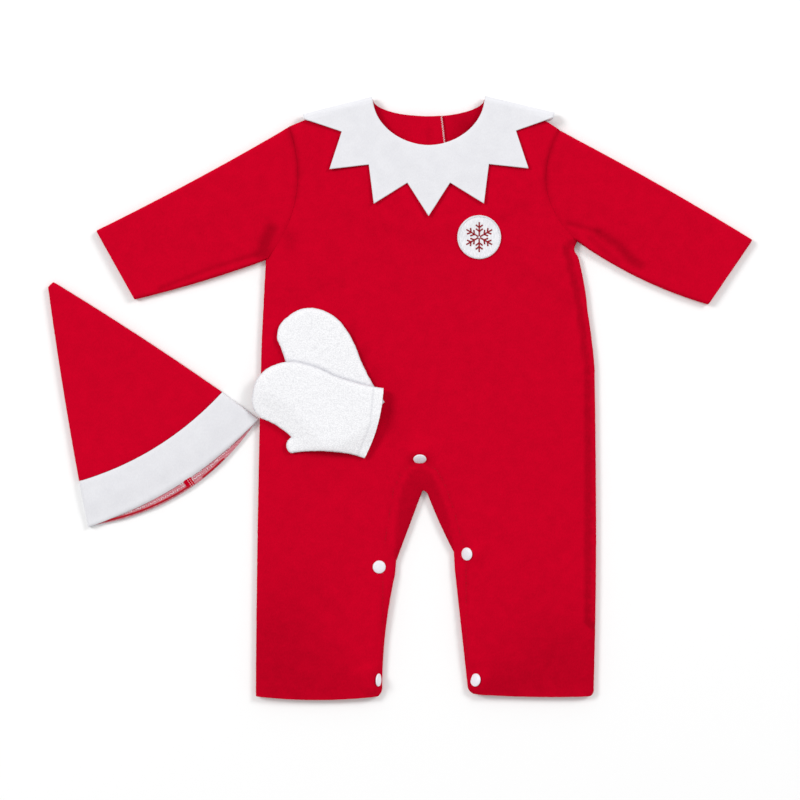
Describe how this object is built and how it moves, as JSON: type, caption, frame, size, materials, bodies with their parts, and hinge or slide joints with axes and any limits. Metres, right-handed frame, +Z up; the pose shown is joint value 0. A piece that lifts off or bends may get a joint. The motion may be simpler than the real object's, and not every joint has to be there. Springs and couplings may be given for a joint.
{
  "type": "elf costume",
  "caption": "Child's elf costume laid flat: long-sleeved romper with a zigzag collar and snap inseam, pointed hat with a band, and mittens.",
  "frame": {"origin": "centre of the costume's footprint, on the surface that it lies on", "axes": "+X to the viewer's right across the spread sleeves, +Y from the hems to the neck, +Z up through the layers"},
  "size_m": [0.704, 0.6032, 0.018],
  "materials": {
    "red_fleece": "brushed red fleece with a soft short nap",
    "white_fleece": "smooth cool-white fleece",
    "white_felt": "white felt applique with red stitching",
    "white_terry": "white fleecy loop-pile cloth",
    "pink_facing": "dusty pink wrong side of the cloth with white overlock thread",
    "snap_plastic": "white moulded snap cap, satin gloss"
  },
  "bodies": {
    "root": {"romper_front": "red_fleece", "romper_back_left": "red_fleece", "romper_back_right": "red_fleece", "sleeve_left": "red_fleece", "sleeve_right": "red_fleece", "collar": "white_fleece", "chest_patch": "white_felt", "snap_crotch": "snap_plastic", "snap_thigh_left": "snap_plastic", "snap_thigh_right": "snap_plastic", "snap_hem_left": "snap_plastic", "snap_hem_right": "snap_plastic", "hat_crown": "red_fleece", "hat_band": "white_fleece", "hat_facing": "pink_facing", "mitten_under_palm": "white_terry", "mitten_under_back": "white_terry", "mitten_top_palm": "white_terry", "mitten_top_back": "white_terry"}
  },
  "joints": []
}
